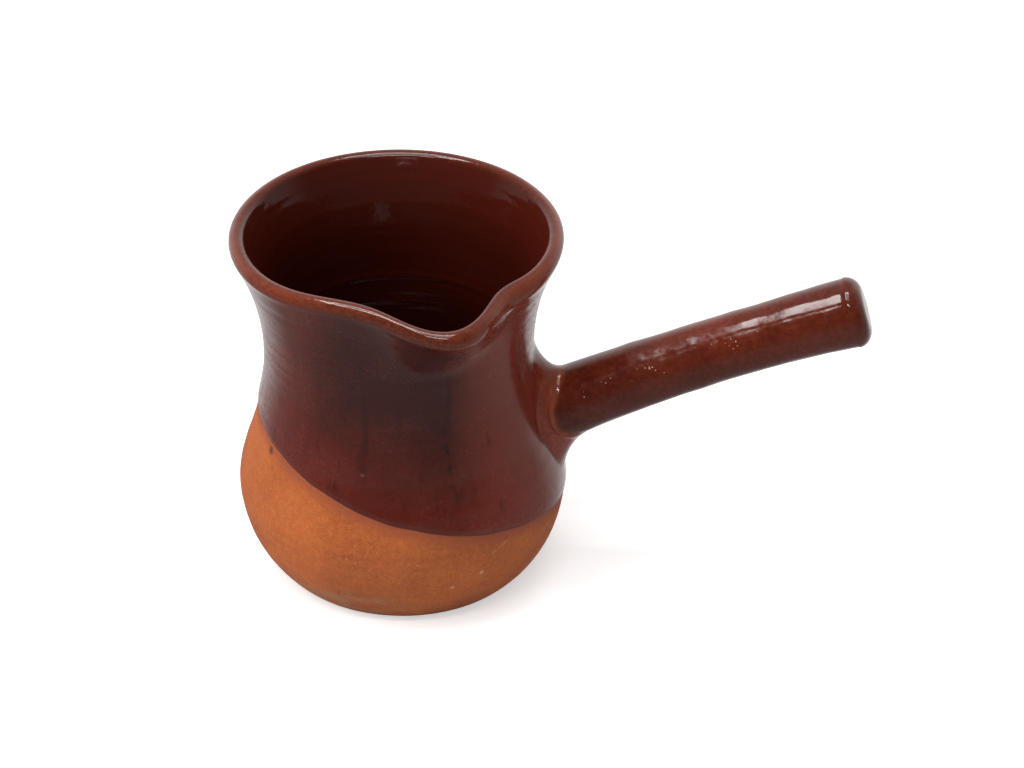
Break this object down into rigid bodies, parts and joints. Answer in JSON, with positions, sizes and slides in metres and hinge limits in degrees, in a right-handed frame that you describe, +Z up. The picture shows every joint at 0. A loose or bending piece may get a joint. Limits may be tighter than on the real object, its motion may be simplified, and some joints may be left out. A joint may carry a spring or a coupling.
{
  "type": "turkish coffee pot",
  "caption": "Small terracotta coffee pot with a rounded belly, narrow neck, flared mouth with a pinched pouring spout and a stick handle; boils and pours coffee",
  "frame": {"origin": "centre of the cut base, on the surface that the pot stands on", "axes": "+Z up, +X along the handle seen from above, +Y away from the spout's side"},
  "size_m": [0.1658, 0.0932, 0.0995],
  "materials": {
    "terracotta": "unglazed, slightly rough fired clay",
    "brown_glaze": "glossy dark brown glaze, redder where it runs thin"
  },
  "bodies": {
    "root": {"pot_body": "terracotta", "handle": "terracotta", "handle_collar": "terracotta", "glaze_inside": "brown_glaze", "glaze_outside": "brown_glaze", "glaze_handle": "brown_glaze"}
  },
  "joints": []
}
